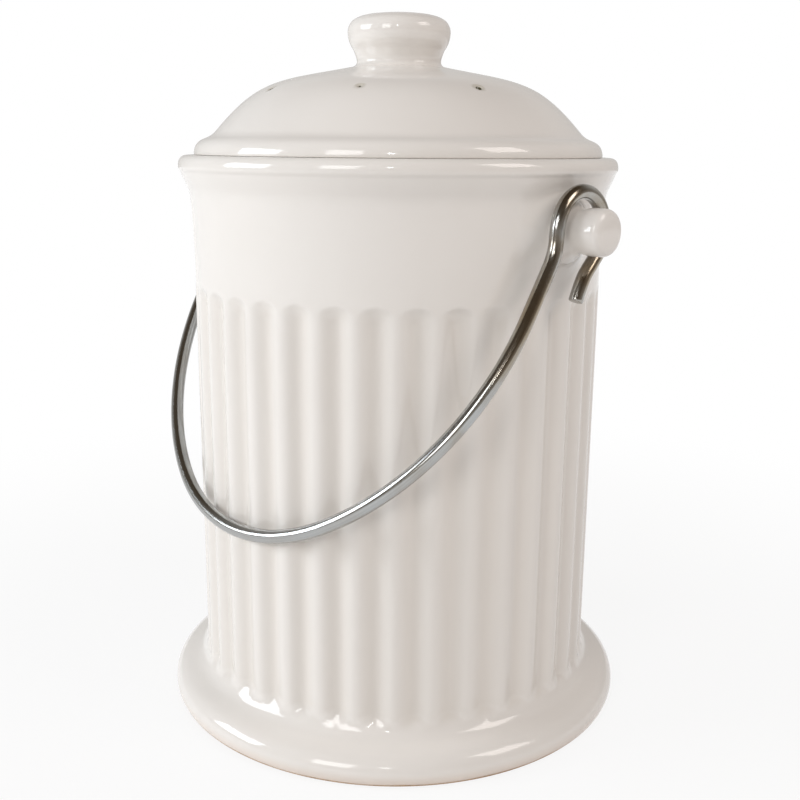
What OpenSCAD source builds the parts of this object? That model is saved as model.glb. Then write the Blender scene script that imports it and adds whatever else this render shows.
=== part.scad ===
// Fluted stoneware compost crock with a loose vented lid, a wire bail and a charcoal filter.
// Millimetres, +Z up. The origin is the centre of the foot, on the table. The lugs lie on X,
// and the bail hangs down in front of the crock, on the -Y side.

/* [Crock] */
// Radius of the body over the crests of its flutes
body_r = 85.4; // [75:0.2:95]
// Thickness of the body wall at the crests
body_wall = 6.9; // [5.5:0.1:9]
// Height of the rim's flat top above the table
crock_h = 233.5; // [215:0.5:260]
// Thickness of the floor
floor_t = 9; // [6:0.5:14]
// Radius of the round between the floor and the wall inside
floor_round = 8; // [4:0.5:12]

/* [Rim] */
// How far the rim stands out past the body
rim_flare = 5.5; // [4:0.1:8]
// Height of the flared band under the rim
flare_h = 16; // [12:0.5:22]
// How far the plain band leans out between the flutes and the flare
band_lean = 1.1; // [0.5:0.1:2]
// Radius of the rounded edge of the rim
rim_round = 3.1; // [2:0.1:4]
// How far the mouth opens out past the inner wall
mouth_flare = 2; // [1:0.1:3]
// Radius of the round inside the mouth
mouth_round = 1.5; // [1:0.1:2.5]

/* [Base] */
// How far the foot flange stands out past the body
base_flange = 14.6; // [11:0.2:20]
// Radius of the flange's rolled edge
edge_round = 4.4; // [3:0.1:5]
// Height of the centre of the rolled edge above the table
edge_rise = 5.4; // [4.6:0.1:7]
// Slope of the flange's upper face, in degrees
flange_slope = 24; // [16:1:28]
// Radius of the hollow curve between flange and body
foot_round = 6.4; // [4:0.2:7]
// Width of the ring that the crock stands on
foot_w = 12; // [8:0.5:14]
// Depth of the recess under the floor
foot_recess = 3; // [2:0.25:3.5]

/* [Flutes] */
// Number of flutes round the body
flute_count = 36; // [30:1:36]
// Width of a flute between its crests
flute_w = 10.4; // [8:0.2:11]
// Depth of a flute
flute_d = 1.9; // [1:0.1:2.2]
// Height of the plain band between the flutes and the rim's top
plain_band = 51.9; // [48:0.5:70]
// Height of the flutes' lower ends above the table
flute_foot = 19.3; // [19:0.1:30]

/* [Lugs] */
// How far the lugs' axis lies below the rim's top
lug_drop = 25.5; // [23:0.5:30]
// How far the flat seat of a lug stands out past the body
seat_rise = 4.2; // [3:0.1:5]
// Radius of the flat seat
seat_r = 12.2; // [11:0.1:13]
// How much wider the seat's skirt is for each millimetre towards the wall
skirt_spread = 1.4; // [1.2:0.1:1.6]
// Radius of a lug where it is luted to its seat
lug_root_r = 10.8; // [9.5:0.1:11]
// Radius of a lug's neck
lug_neck_r = 8; // [6:0.1:8.2]
// Radius of a lug's cap
lug_cap_r = 8.7; // [8.4:0.1:10]
// Thickness of a lug's cap
lug_cap_t = 9.2; // [7:0.1:12]
// Radius of the cap's rounded edge
lug_cap_round = 2.8; // [2:0.1:4]

/* [Bail] */
// Diameter of the bail's wire
wire_d = 5.5; // [4:0.1:6]
// Radius of a hook, along the middle of the wire
hook_r = 14.2; // [13:0.1:17]
// Length of the straight end past the hook
hook_tail = 21; // [12:0.5:26]
// Angle by which that end is turned in towards the leg
tail_turn = 4; // [0:0.5:10]
// Angle by which a hook is bent back from the leg below it
hook_bend = 30; // [24:1:34]
// Radius of the bend between hook and leg, along the middle of the wire
bend_r = 20; // [14:0.5:22]
// Distance of the bail's plane from the lugs' axis
bail_set = 8.2; // [7:0.2:10]
// Distance along the bail from the lugs' axis to the end of its straight legs
leg_l = 40.4; // [34:0.2:50]
// Distance along the bail from the lugs' axis to its lowest point
bail_l = 146.9; // [138:0.5:165]
// Radius of the lowest part of the bail
bow_r = 80; // [74:0.5:84]
// Gap between the bail's legs and the rim that they swing past
swing_gap = 0.55; // [0.4:0.05:2]
// Gap between the wire and the flutes that it rests against
rest_gap = 0.3; // [0.2:0.05:0.6]

/* [Lid] */
// How far the lid's edge reaches out past the mouth
lid_lap = 4.1; // [3.6:0.1:5]
// Radius of the lid's rolled edge
lid_round = 4; // [3:0.1:5]
// Height of the centre of the lid's rolled edge above its underside
lid_edge_rise = 1.6; // [1:0.1:3]
// Width of the sloped shoulder between the dome and the lid's edge
lid_brim = 7.6; // [6.5:0.1:9]
// Height of the foot of the dome above the lid's underside
dome_foot = 7.5; // [6.5:0.1:9]
// Height of the lid's crown above its underside
dome_h = 35.4; // [30:0.2:45]
// Thickness of the lid
lid_wall = 5.5; // [4.5:0.1:6.5]
// Gap between the lid's underside and the rim
seat_gap = 0.3; // [0.2:0.05:0.5]
// Depth of the ring under the lid that keeps it central
spigot_h = 9.3; // [8:0.1:12]
// Thickness of that ring
spigot_t = 6; // [5:0.1:7]
// Gap between that ring and the crock's wall
spigot_gap = 1; // [0.6:0.1:2]

/* [Vents] */
// Number of vent holes
vent_count = 8; // [4:1:12]
// Diameter of a vent hole
vent_d = 3; // [2:0.1:6]
// Radius of the circle that the vent holes lie on
vent_ring_r = 57.3; // [50:0.1:60]
// Angle of the first vent hole from +X
vent_turn = 30.8; // [0:0.1:45]

/* [Knob] */
// Radius of the knob's neck
knob_neck_r = 17.6; // [14:0.1:20]
// Radius of the knob at its widest
knob_r = 21.4; // [19:0.1:24]
// Height of the whole knob
knob_h = 21.3; // [18:0.1:26]
// Height of the knob's widest part above its foot
knob_belly_h = 13; // [11:0.1:15]
// Width of the glaze fillet round the knob's foot
knob_fillet = 1.9; // [1:0.1:2.5]

/* [Filter] */
// Gap between the retaining ring and the lid
ring_gap = 0.25; // [0.15:0.05:0.4]
// Thickness of the retaining ring's wall
ring_wall = 2; // [1.5:0.1:3]
// Height of the retaining ring
ring_h = 11; // [9:0.1:12]
// Thickness of the retaining ring's lip and spokes
lip_t = 2; // [1.5:0.1:2.5]
// Width of the lip that carries the disc
lip_w = 8; // [6:0.5:12]
// Number of spokes under the disc
spoke_count = 3; // [3:1:6]
// Width of a spoke
spoke_w = 6; // [4:0.5:9]
// Radius of the ring's middle disc
hub_r = 13; // [10:0.5:18]
// Gap round the charcoal disc inside the ring
disc_gap = 2.7; // [2.4:0.1:4]
// Thickness of the charcoal disc
disc_t = 6; // [4:0.5:7]
// Gap between the disc and the lip under it
disc_rest = 0.3; // [0.2:0.05:0.5]

/* [Hidden] */
$fn = 96;
cutter_fn = 32;

wire_r = wire_d / 2;
inner_r = body_r - body_wall;
band_r = body_r + band_lean;
rim_r = body_r + rim_flare;
base_r = body_r + base_flange;
mouth_r = inner_r + mouth_flare;
floor_z = foot_recess + floor_t;
flare_z = crock_h - flare_h;
flute_top = crock_h - plain_band;

// The flange's upper face is a tangent of the rolled edge and of the hollow curve.
edge_c = [base_r - edge_round, edge_rise];
foot_c = [
    body_r + foot_round,
    edge_rise + (edge_round + foot_round + base_flange * sin(flange_slope)
        - (edge_round + foot_round) * sin(flange_slope)) / cos(flange_slope)
];

// How far the flat of the foot runs out under the rolled edge, and where that edge starts.
foot_tuck = 1.2;
edge_start = -50;

// The rim's rolled edge starts below level, where the flare meets it.
rim_c = [rim_r - rim_round, crock_h - rim_round];
rim_start = -20;
// Height over which the band turns out into the flare, and how far it comes out there.
turn_h = 2.5;
turn_out = 0.5;
// Height above the flutes at which the band starts to lean out.
lean_start = 6;

// A lug's skirt starts this far inside the crock's surface, so that its edge is buried in the wall.
skirt_bury = 3.6;
seat_x = body_r + seat_rise;
lug_z = crock_h - lug_drop;
skirt_root_x = body_r - skirt_bury;

flute_cut_r = (flute_w * flute_w / 4 + flute_d * flute_d) / (2 * flute_d);
flute_axis_r = body_r - flute_d + flute_cut_r;
flute_ball_low = flute_foot + flute_w / 2;
flute_run = flute_top - flute_foot - flute_w;

// The bail hangs in a leaning plane, in which its lowest point rests against the flutes.
bail_half_w = rim_r + wire_r + swing_gap;
bail_lean = asin((body_r + wire_r + rest_gap) / norm([bail_l, bail_set])) - atan(bail_set / bail_l);
bow_drop = bail_l - leg_l;
side_r = (bail_half_w * bail_half_w + bow_drop * (bow_drop - 2 * bow_r)) / (2 * (bail_half_w - bow_r));
bow_angle = atan2(bow_drop - bow_r, side_r - bail_half_w);
bend_reach = bend_r * tan(hook_bend / 2);
hook_run = (hook_r * cos(hook_bend) - bail_set) / sin(hook_bend);
bend_end = hook_r * sin(hook_bend) + hook_run * cos(hook_bend) + bend_reach;

// Straight runs and the bow are this much thinner than the bends, and run this far into them,
// in millimetres for the runs and in degrees for the bow.
wire_step = 0.02;
wire_lap = 0.4;
bow_lap = 0.3;

// A lug's neck is centred on its hook, and its cap starts clear of the wire.
cap_gap = 0.9;
lug_neck_x = bail_half_w;
lug_cap_x = bail_half_w + wire_r + cap_gap;
// Lengths of the lug's straight edge at its root, of its even neck, and of the cap's swell and dome.
root_edge = 0.6;
neck_half = 0.8;
cap_swell = 2.6;
cap_dome = 0.4;

lid_r = mouth_r + lid_lap;
lid_z = crock_h + seat_gap;
crown_z = lid_z + dome_h;
// The crown's flat reaches this far past the knob's foot.
crown_edge = 0.4;
crown_r = knob_neck_r + knob_fillet + crown_edge;
spigot_r = inner_r - spigot_gap;
recess_r = spigot_r - spigot_t;
spigot_z = lid_z - spigot_h;
// Small bevels on the lid's lower edges.
lid_bevel = 0.8;
dome_steps = 14;
// How far the dome's two middle handles lie in from the lid's edge and below its crown.
dome_handles = [[33.6, 7], [27, 4.6]];

ring_r = recess_r - ring_gap;
// The ring sits this far up inside the lid.
ring_rise = 0.5;
ring_z = spigot_z + ring_rise;
disc_r = ring_r - ring_wall - disc_gap;
disc_z = ring_z + lip_t + disc_rest;

// Points on an arc about c, from angle a to angle b.
function arc(c, r, a, b, n = 8) = [for (i = [0:n]) c + r * [cos(a + (b - a) * i / n), sin(a + (b - a) * i / n)]];

// Point on a cubic curve with ends p[0] and p[3] and handles p[1] and p[2].
function curve_at(p, t) =
    pow(1 - t, 3) * p[0] + 3 * pow(1 - t, 2) * t * p[1] + 3 * (1 - t) * t * t * p[2] + pow(t, 3) * p[3];

// Direction of that curve, not unit length.
function curve_way(p, t) =
    pow(1 - t, 2) * (p[1] - p[0]) + 2 * (1 - t) * t * (p[2] - p[1]) + t * t * (p[3] - p[2]);

// Points along that curve, moved to its right by off.
function curve(p, n, off = 0) = [
    for (i = [0:n])
        let (w = curve_way(p, i / n))
        curve_at(p, i / n) + off * [w[1], -w[0]] / norm(w)
];

function reversed(list) = [for (i = [len(list) - 1:-1:0]) list[i]];

// Half outline of the crock, from the middle of the underside round to the middle of the floor.
crock_outline = concat(
    [[0, foot_recess], [base_r - edge_round - foot_w, foot_recess]],
    [[base_r - edge_round - foot_w + foot_recess, 0]],
    [[base_r - edge_round + foot_tuck, 0]],
    arc(edge_c, edge_round, edge_start, 90 - flange_slope),
    reversed(arc(foot_c, foot_round, 180, 270 - flange_slope)),
    [[body_r, flute_top + lean_start], [band_r, flare_z], [band_r + turn_out, flare_z + turn_h]],
    arc(rim_c, rim_round, rim_start, 90),
    reversed(arc([mouth_r + mouth_round, crock_h - mouth_round], mouth_round, 90, 180, 4)),
    [[inner_r, flare_z - turn_h]],
    reversed(arc([inner_r - floor_round, floor_z + floor_round], floor_round, -90, 0, 6)),
    [[0, floor_z]]
);

// Outline of the crock turned about its axis, starting at the back on a crest between two flutes.
module crock_turned() {
    rotate([0, 0, 90 + 180 / flute_count]) rotate_extrude() polygon(crock_outline);
}

// One flute's cutter: a bar of round section with ball ends.
module flute_cutter() {
    translate([flute_axis_r, 0, flute_ball_low])
        rotate_extrude($fn = cutter_fn)
            difference() {
                union() {
                    circle(r = flute_cut_r);
                    square([flute_cut_r, flute_run]);
                    translate([0, flute_run]) circle(r = flute_cut_r);
                }
                translate([-2 * flute_cut_r, -2 * flute_cut_r]) square([2 * flute_cut_r, flute_run + 4 * flute_cut_r]);
            }
}

// Skirt and flat seat on which a lug is luted, on the +X side.
module lug_seat() {
    translate([skirt_root_x, 0, lug_z])
        rotate([0, 90, 0])
            cylinder(r1 = seat_r + skirt_spread * (seat_x - skirt_root_x), r2 = seat_r, h = seat_x - skirt_root_x);
}

module crock_body() {
    color("whitesmoke")
        difference() {
            union() {
                crock_turned();
                lug_seat();
                mirror([1, 0, 0]) lug_seat();
            }
            for (i = [0:flute_count - 1])
                rotate([0, 0, 360 * i / flute_count]) flute_cutter();
        }
}

// Spool-shaped lug on the +X side: a trumpet root, a neck for the hook and a round cap.
module lug() {
    translate([0, 0, lug_z])
        rotate([0, 90, 0])
            rotate_extrude()
                polygon(concat(
                    [[0, seat_x], [lug_root_r, seat_x]],
                    curve([
                        [lug_root_r, seat_x + root_edge],
                        [lug_neck_r + root_edge, seat_x + 2 * root_edge],
                        [lug_neck_r, lug_neck_x - 3 * neck_half],
                        [lug_neck_r, lug_neck_x - neck_half]
                    ], 6),
                    curve([
                        [lug_neck_r, lug_neck_x + neck_half],
                        [lug_neck_r, lug_cap_x],
                        [lug_cap_r, lug_cap_x],
                        [lug_cap_r, lug_cap_x + cap_swell]
                    ], 5),
                    arc([lug_cap_r - lug_cap_round, lug_cap_x + lug_cap_t - lug_cap_round], lug_cap_round, 0, 80, 6),
                    [[0, lug_cap_x + lug_cap_t + cap_dome]]
                ));
}

module lug_right() {
    color("white") lug();
}

module lug_left() {
    color("white") mirror([1, 0, 0]) lug();
}

// Bent stretch of wire about Z, from the +X side.
module wire_bend(r, angle) {
    rotate_extrude(angle = angle) translate([r, 0]) circle(r = wire_r, $fn = cutter_fn);
}

// Straight stretch of wire along +X. It is a hair thinner than the bends and runs a little way
// into them, so that the whole bail joins into one solid.
module wire_run(length) {
    translate([-wire_lap, 0, 0])
        rotate([0, 90, 0])
            cylinder(r = wire_r - wire_step, h = length + 2 * wire_lap, $fn = cutter_fn);
}

// Hook of the +X side, drawn with X along the bail and Y away from the crock's front.
module hook() {
    rotate([0, 0, -tail_turn]) translate([0, hook_r, 0]) wire_run(hook_tail);
    rotate([0, 0, 90 - tail_turn]) wire_bend(hook_r, 180 + hook_bend + tail_turn);
    rotate([0, 0, hook_bend]) translate([0, -hook_r, 0]) wire_run(hook_run - bend_reach);
    translate([bend_end, -bail_set - bend_r, 0]) rotate([0, 0, 90]) wire_bend(bend_r, hook_bend);
}

// Lowest part of the bail, a hair thinner where it runs into the bends at its ends.
module bow() {
    rotate([0, 0, bow_angle - bow_lap])
        rotate_extrude(angle = 180 - 2 * bow_angle + 2 * bow_lap)
            translate([bow_r, 0]) circle(r = wire_r - wire_step, $fn = cutter_fn);
}

// Half of the bail, in its own plane: X across, Y down the bail, Z into the crock.
module bail_half() {
    translate([bail_half_w, 0, 0]) rotate([90, 0, 90]) hook();
    translate([bail_half_w, bend_end, -bail_set]) rotate([0, 0, 90]) wire_run(leg_l - bend_end);
    translate([bail_half_w - side_r, leg_l, -bail_set]) wire_bend(side_r, bow_angle);
}

module bail_handle() {
    color("silver")
        translate([0, 0, lug_z])
            rotate([-90 - bail_lean, 0, 0]) {
                bail_half();
                mirror([1, 0, 0]) bail_half();
                translate([0, bail_l - bow_r, -bail_set]) bow();
            }
}

// Handles of the dome's outline, from the crown out to its foot.
dome_curve = [
    [crown_r, crown_z],
    [lid_r - dome_handles[0][0], crown_z - dome_handles[0][1]],
    [lid_r - dome_handles[1][0], crown_z - dome_handles[1][1]],
    [lid_r - lid_brim, lid_z + dome_foot]
];
lid_edge_c = [lid_r - lid_round, lid_z + lid_edge_rise];
dome_inside = [for (p = curve(dome_curve, dome_steps, lid_wall)) if (p[0] < recess_r - lid_bevel) p];

module lid_shell() {
    color("white")
        difference() {
            rotate_extrude()
                polygon(concat(
                    [[0, crown_z]],
                    curve(dome_curve, dome_steps),
                    reversed(arc(lid_edge_c, lid_round, 0, 62, 6)),
                    [[lid_r, lid_z + lid_bevel], [lid_r - lid_bevel, lid_z]],
                    [[spigot_r, lid_z], [spigot_r, spigot_z + lid_bevel], [spigot_r - lid_bevel, spigot_z]],
                    [[recess_r + lid_bevel, spigot_z], [recess_r, spigot_z + lid_bevel]],
                    [[recess_r, dome_inside[len(dome_inside) - 1][1] - lid_bevel]],
                    reversed(dome_inside),
                    [[0, crown_z - lid_wall]]
                ));
            for (i = [0:vent_count - 1])
                rotate([0, 0, vent_turn + 360 * i / vent_count])
                    translate([vent_ring_r, 0, lid_z + dome_foot])
                        cylinder(d = vent_d, h = dome_h, $fn = cutter_fn);
        }
}

module lid_knob() {
    color("white")
        translate([0, 0, crown_z])
            rotate_extrude()
                polygon(concat(
                    [[0, 0], [knob_neck_r + knob_fillet, 0]],
                    arc([knob_neck_r + knob_fillet, knob_fillet], knob_fillet, -90, -180, 4),
                    curve([
                        [knob_neck_r, knob_fillet + 0.6],
                        [knob_neck_r, knob_belly_h - 6.8],
                        [knob_r, knob_belly_h - 6.1],
                        [knob_r, knob_belly_h]
                    ], 8),
                    curve([
                        [knob_r, knob_belly_h + 0.2],
                        [knob_r, knob_h - 3.4],
                        [knob_r - 2.9, knob_h - 0.2],
                        [0, knob_h]
                    ], 10)
                ));
}

module filter_disc() {
    color("dimgray") translate([0, 0, disc_z]) cylinder(r = disc_r, h = disc_t);
}

module filter_ring() {
    color("gainsboro")
        translate([0, 0, ring_z]) {
            difference() {
                cylinder(r = ring_r, h = ring_h);
                translate([0, 0, lip_t]) cylinder(r = ring_r - ring_wall, h = ring_h);
                translate([0, 0, -1]) cylinder(r = ring_r - ring_wall - lip_w, h = ring_h);
            }
            cylinder(r = hub_r, h = lip_t);
            for (i = [0:spoke_count - 1])
                rotate([0, 0, 90 + 360 * i / spoke_count])
                    translate([0, -spoke_w / 2, 0])
                        cube([ring_r - ring_wall - lip_w / 2, spoke_w, lip_t]);
        }
}

crock_body();
lug_right();
lug_left();
bail_handle();
lid_shell();
lid_knob();
filter_disc();
filter_ring();
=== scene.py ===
# %% [markdown]
# # A fluted compost crock with a loose vented lid
# The measured solids arrive ready made. This lesson dresses them: every visible piece becomes a smooth
# surface worked out from a formula, and every finish is a small network of shader nodes. All lengths in the
# formulas are millimetres, and they become metres only when a mesh is made.

import bpy
import numpy as np
from mathutils import Matrix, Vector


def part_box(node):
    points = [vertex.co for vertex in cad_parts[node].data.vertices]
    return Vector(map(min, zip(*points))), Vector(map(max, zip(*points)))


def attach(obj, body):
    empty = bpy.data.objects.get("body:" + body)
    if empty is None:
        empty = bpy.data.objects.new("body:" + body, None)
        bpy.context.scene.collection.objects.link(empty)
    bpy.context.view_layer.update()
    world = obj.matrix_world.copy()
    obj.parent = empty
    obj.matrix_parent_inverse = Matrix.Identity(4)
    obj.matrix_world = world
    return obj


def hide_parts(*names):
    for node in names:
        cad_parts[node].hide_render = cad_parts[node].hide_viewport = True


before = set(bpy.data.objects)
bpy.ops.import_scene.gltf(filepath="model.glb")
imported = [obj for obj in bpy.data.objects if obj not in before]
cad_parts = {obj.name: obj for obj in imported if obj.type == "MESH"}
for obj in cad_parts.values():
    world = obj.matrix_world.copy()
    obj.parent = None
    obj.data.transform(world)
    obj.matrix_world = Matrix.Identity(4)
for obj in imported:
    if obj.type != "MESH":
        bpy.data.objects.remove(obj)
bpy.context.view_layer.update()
MM = 0.001


def node_box(node):
    """Lowest and highest corner of a measured node, in millimetres."""
    low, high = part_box(node)
    return np.array(low) / MM, np.array(high) / MM


# %% [markdown]
# ## From points to a surface
# Pottery is turned, so most shapes here are a grid: rows of points that follow an outline, each row going
# once round. The grid wraps on itself, and a row near the axis closes as a fan of triangles, which leaves no
# hole at a pole. A Spin would make the same surface, but a grid of our own can be bent afterwards, point by
# point, with one formula.

# %% Grid to mesh
def skin(name, rows, loop=False, drop=None, extra=None, marks=None):
    """Closed mesh through rows[i, j]: row i along the shape, place j round it, wrapping in j. The first and
    the last row close at their mean point, or join each other in a loop. drop marks quads to leave out and
    extra holds quads to add. marks gives numbers for each point, by name, that a material can read."""
    n, m = rows.shape[:2]
    i, j = np.meshgrid(np.arange(n if loop else n - 1), np.arange(m), indexing="ij")
    k, up = (j + 1) % m, (i + 1) % n
    quads = np.stack([i * m + j, i * m + k, up * m + k, up * m + j], -1)
    quads = quads[~drop] if drop is not None else quads.reshape(-1, 4)
    quads = quads if extra is None else np.concatenate([quads, extra])
    low, high = np.arange(m), (n - 1) * m + np.arange(m)
    fans = np.zeros((0, 3), int) if loop else np.concatenate([
        np.stack([np.roll(low, -1), low, np.full(m, n * m)], 1),
        np.stack([high, np.roll(high, -1), np.full(m, n * m + 1)], 1),
    ])
    grid = rows.reshape(-1, 3)
    poles = [] if loop else [rows[0].mean(0), rows[-1].mean(0)]
    points = np.concatenate([grid, np.reshape(poles, (-1, 3))])
    used = np.unique(np.concatenate([quads.ravel(), fans.ravel()]))
    number = np.zeros(len(points), int)
    number[used] = np.arange(len(used))
    faces = number[quads].tolist() + number[fans].tolist()
    mesh = bpy.data.meshes.new(name)
    mesh.from_pydata(points[used] * MM, [], faces)
    mesh.polygons.foreach_set("use_smooth", np.ones(len(faces), bool))
    for label, values in (marks or {}).items():
        ends = [] if loop else [values[0].mean(), values[-1].mean()]
        layer = mesh.attributes.new(label, "FLOAT", "POINT")
        layer.data.foreach_set("value", np.concatenate([values.ravel(), ends])[used].astype(np.float32))
    mesh.update()
    piece = bpy.data.objects.new(name, mesh)
    bpy.context.scene.collection.objects.link(piece)
    print(f"{name}: {len(used)} points, {len(faces)} faces")
    return piece


# %% [markdown]
# ## Outlines
# A potter's outline is straight runs, arcs and soft curves. Each helper returns points as radius and height,
# and `join` puts them end to end. `through` draws a smooth curve through measured points.

# %% Outline helpers
def line(start, end, n):
    """n + 1 points that go evenly from start to end."""
    t = np.linspace(0, 1, n + 1)[:, None]
    return (1 - t) * np.array(start, float) + t * np.array(end, float)


def arc(centre, radius, start, end, n):
    """n + 1 points: centre plus radius times cosine and sine of an angle that goes from start to end."""
    angle = np.radians(np.linspace(start, end, n + 1))
    return np.array(centre, float) + radius * np.stack([np.cos(angle), np.sin(angle)], 1)


def curve(handles, n):
    """Cubic curve: the four handles weighted by (1-t)^3, 3t(1-t)^2, 3t^2(1-t) and t^3."""
    t = np.linspace(0, 1, n + 1)[:, None]
    weights = np.concatenate([(1 - t) ** 3, 3 * t * (1 - t) ** 2, 3 * t * t * (1 - t), t**3], 1)
    return weights @ np.array(handles, float)


def through(points, n):
    """Smooth curve through the points, n steps a span: each span is a cubic whose slope at a point is half
    the step between that point's neighbours."""
    p = np.array(points, float)
    p = np.concatenate([[2 * p[0] - p[1]], p, [2 * p[-1] - p[-2]]])
    a, b, c, d = p[:-3, None], p[1:-2, None], p[2:-1, None], p[3:, None]
    t = np.linspace(0, 1, n + 1)[None, :-1, None]
    spans = b + (c - a) * t / 2
    spans = spans + (a - 2.5 * b + 2 * c - d / 2) * t**2
    spans = spans + (1.5 * b - a / 2 - 1.5 * c + d / 2) * t**3
    return np.concatenate([spans.reshape(-1, 2), p[-2:-1]])


def join(*pieces):
    """The pieces end to end, without the points that repeat."""
    p = np.concatenate(pieces)
    step = np.linalg.norm(np.diff(p, axis=0), axis=1)
    return p[np.concatenate([[True], step > 1e-6])]


def even(points, step):
    """The same curve again, with points about step apart along it."""
    gap = np.concatenate([[0], np.cumsum(np.linalg.norm(np.diff(points, axis=0), axis=1))])
    at = np.linspace(0, gap[-1], int(round(gap[-1] / step)) + 1)
    return np.stack([np.interp(at, gap, points[:, 0]), np.interp(at, gap, points[:, 1])], 1)


def softened(points, step, reach):
    """The curve in even steps, each point moved to the mean of its neighbours up to reach steps away, the
    way thick glaze rounds a corner. Past an end the curve is turned over about it, so both ends stay."""
    p = even(points, step)
    before, after = 2 * p[0] - p[reach:0:-1], 2 * p[-1] - p[-2 : -reach - 2 : -1]
    padded = np.concatenate([before, p, after])
    return np.mean([padded[k : k + len(p)] for k in range(2 * reach + 1)], axis=0)


def turned(outline, places, start=0.0):
    """Grid of the outline turned about Z: (r cos a, r sin a, z) at evenly spaced angles a from start."""
    angle = np.radians(start) + np.linspace(0, 2 * np.pi, places, endpoint=False)
    r, z = outline[:, :1], outline[:, 1:]
    return np.stack([r * np.cos(angle), r * np.sin(angle), z + 0 * angle], -1)


def smoother(x):
    """Eases from 0 to 1 as x goes from 0 to 1."""
    x = np.clip(x, 0, 1)
    return x * x * (3 - 2 * x)


# %% [markdown]
# ## The crock
# The pot is thrown, trimmed, and fluted with a loop tool, then dipped in one glaze. The flutes could be cut
# with booleans, but glaze rounds every edge, so they are a soft wave in the radius instead. A wave that
# depends on the distance from the middle line of each flute also gives the thumb-shaped ends. The foot's two
# arcs meet in a crease, which is softened because thick glaze fills it.

# %% Outline of the crock
BODY_R, INNER_R, CROCK_H = 85.4, 78.5, 233.5
FLOOR_Z, FLOOR_BEND, POLE_R = 12.0, 9.0, 25.0
FOOT_STEP, FOOT_REACH = 0.8, 2

foot = join(
    line((POLE_R, 3), (82, 3), 3),
    curve([(82, 3), (84.6, 3), (85.2, 0), (87.4, 0)], 8),
    line((87.4, 0), (94, 0), 3),
    softened(join(
        line((94, 0), (97.7, 0), 4),
        arc((92.4, 4.7), 7.6, -32, 65, 40),
        arc((92.8, 20.6), 7.4, 246, 180, 40),
        line((BODY_R, 20.6), (BODY_R, 28), 4),
    ), FOOT_STEP, FOOT_REACH),
)
wall = join(
    line((BODY_R, 28), (BODY_R, 34), 6),
    line((BODY_R, 34), (BODY_R, 168), 12),
    line((BODY_R, 168), (85.3, 184), 21),
    through([(85.3, 184), (85.35, 190), (85.5, 198), (85.75, 206), (86.05, 213)], 4),
    through([(86.05, 213), (86.4, 217.4), (87.0, 220.2), (88.0, 222.6), (89.0, 224.9), (89.7, 226.9)], 4),
    curve([(89.7, 226.9), (90.0, 227.7), (90.7, 228.0), (90.7, 229.3)], 7),
    curve([(90.7, 229.3), (90.7, 231.8), (89.5, CROCK_H), (87.0, CROCK_H)], 9),
)
mouth = join(
    line((87.0, CROCK_H), (82.2, CROCK_H), 3),
    curve([(82.2, CROCK_H), (80.9, CROCK_H), (80.5, 232.8), (80.4, 231.6)], 5),
    curve([(80.4, 231.6), (80, 226), (INNER_R, 220), (INNER_R, 214)], 6),
    line((INNER_R, 214), (INNER_R, 22), 10),
    arc((INNER_R - FLOOR_BEND, FLOOR_Z + FLOOR_BEND), FLOOR_BEND, 0, -90, 8),
    line((INNER_R - FLOOR_BEND, FLOOR_Z), (POLE_R, FLOOR_Z), 3),
)
crock_outline = join(foot, wall, mouth)
print("crock outline:", len(crock_outline), "rows")

# %% [markdown]
# Each flute is 10 degrees wide. Across it the depth follows a squared cosine, which is deepest on the middle
# line. Near an end the distance to the middle of the end circle takes the place of the distance across, and
# the wave turns into the plain bowl that the tool leaves where it enters the clay. The bowl has a crisper
# edge, most of all at the upper ends, because the glaze fills the lower ones.

# %% Flutes in the crock's surface
FLUTES, FLUTE_D, FLUTE_R = 36, 2.05, 7.2
FLUTE_LOW, FLUTE_TOP, HALF_WAY_UP = 22.9, 175.6, 100.0
END_SQUEEZE, END_EASE, LOW_BOWL, TOP_BOWL = 1.12, 5.0, 0.15, 0.85
OUTER_R, CARVED_LOW, CARVED_TOP = 84.0, 12.0, 226.0
PLACES = FLUTES * 14


def flute_depth(angle, z):
    """With s the distance from the flute's middle line as a share of its half width, the depth is the
    squared cosine of a quarter turn times s along the flute, and 1 - s^2 at its ends."""
    pitch = 2 * np.pi / FLUTES
    across = (angle - pitch * np.round(angle / pitch)) * BODY_R
    past = np.maximum(0, np.maximum(FLUTE_LOW - z, z - FLUTE_TOP))
    share = np.clip(np.hypot(across, past * END_SQUEEZE) / FLUTE_R, 0, 1)
    wave, bowl = np.cos(np.pi * share / 2) ** 2, 1 - share**2
    crisp = np.where(z < HALF_WAY_UP, LOW_BOWL, TOP_BOWL)
    return wave + crisp * smoother(past / END_EASE) * (bowl - wave)


crock_rows = turned(crock_outline, PLACES)
around = np.linspace(0, 2 * np.pi, PLACES, endpoint=False)
outline_r, outline_z = crock_outline.T
outside = (outline_r > OUTER_R) & (outline_z > CARVED_LOW) & (outline_z < CARVED_TOP)
depth = flute_depth(around[None, :], crock_rows[..., 2]) * outside[:, None]
radius = np.hypot(crock_rows[..., 0], crock_rows[..., 1])
crock_rows[..., :2] *= ((radius - FLUTE_D * depth) / radius)[..., None]
print("flutes:", FLUTES, "of them,", FLUTE_D, "mm deep")

# %% [markdown]
# Each lug is luted to a flat seat, and wet clay is smoothed round it into a low skirt. A boolean join would
# leave a hard line where the skirt meets the wall. Here the skirt is the larger of the wall and a shallow
# cone, joined with a soft maximum so that no edge shows.

# %% Skirts round the lugs
LUG_Z, SEAT_X, SEAT_R = 208.0, 88.9, 12.2
SKIRT_SLOPE, SKIRT_REACH, SKIRT_SOFT = 0.64, 34.0, 1.3
SOFT_END, SOFT_W, SIDE_X = 30.0, 12.0, 60.0


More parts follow.
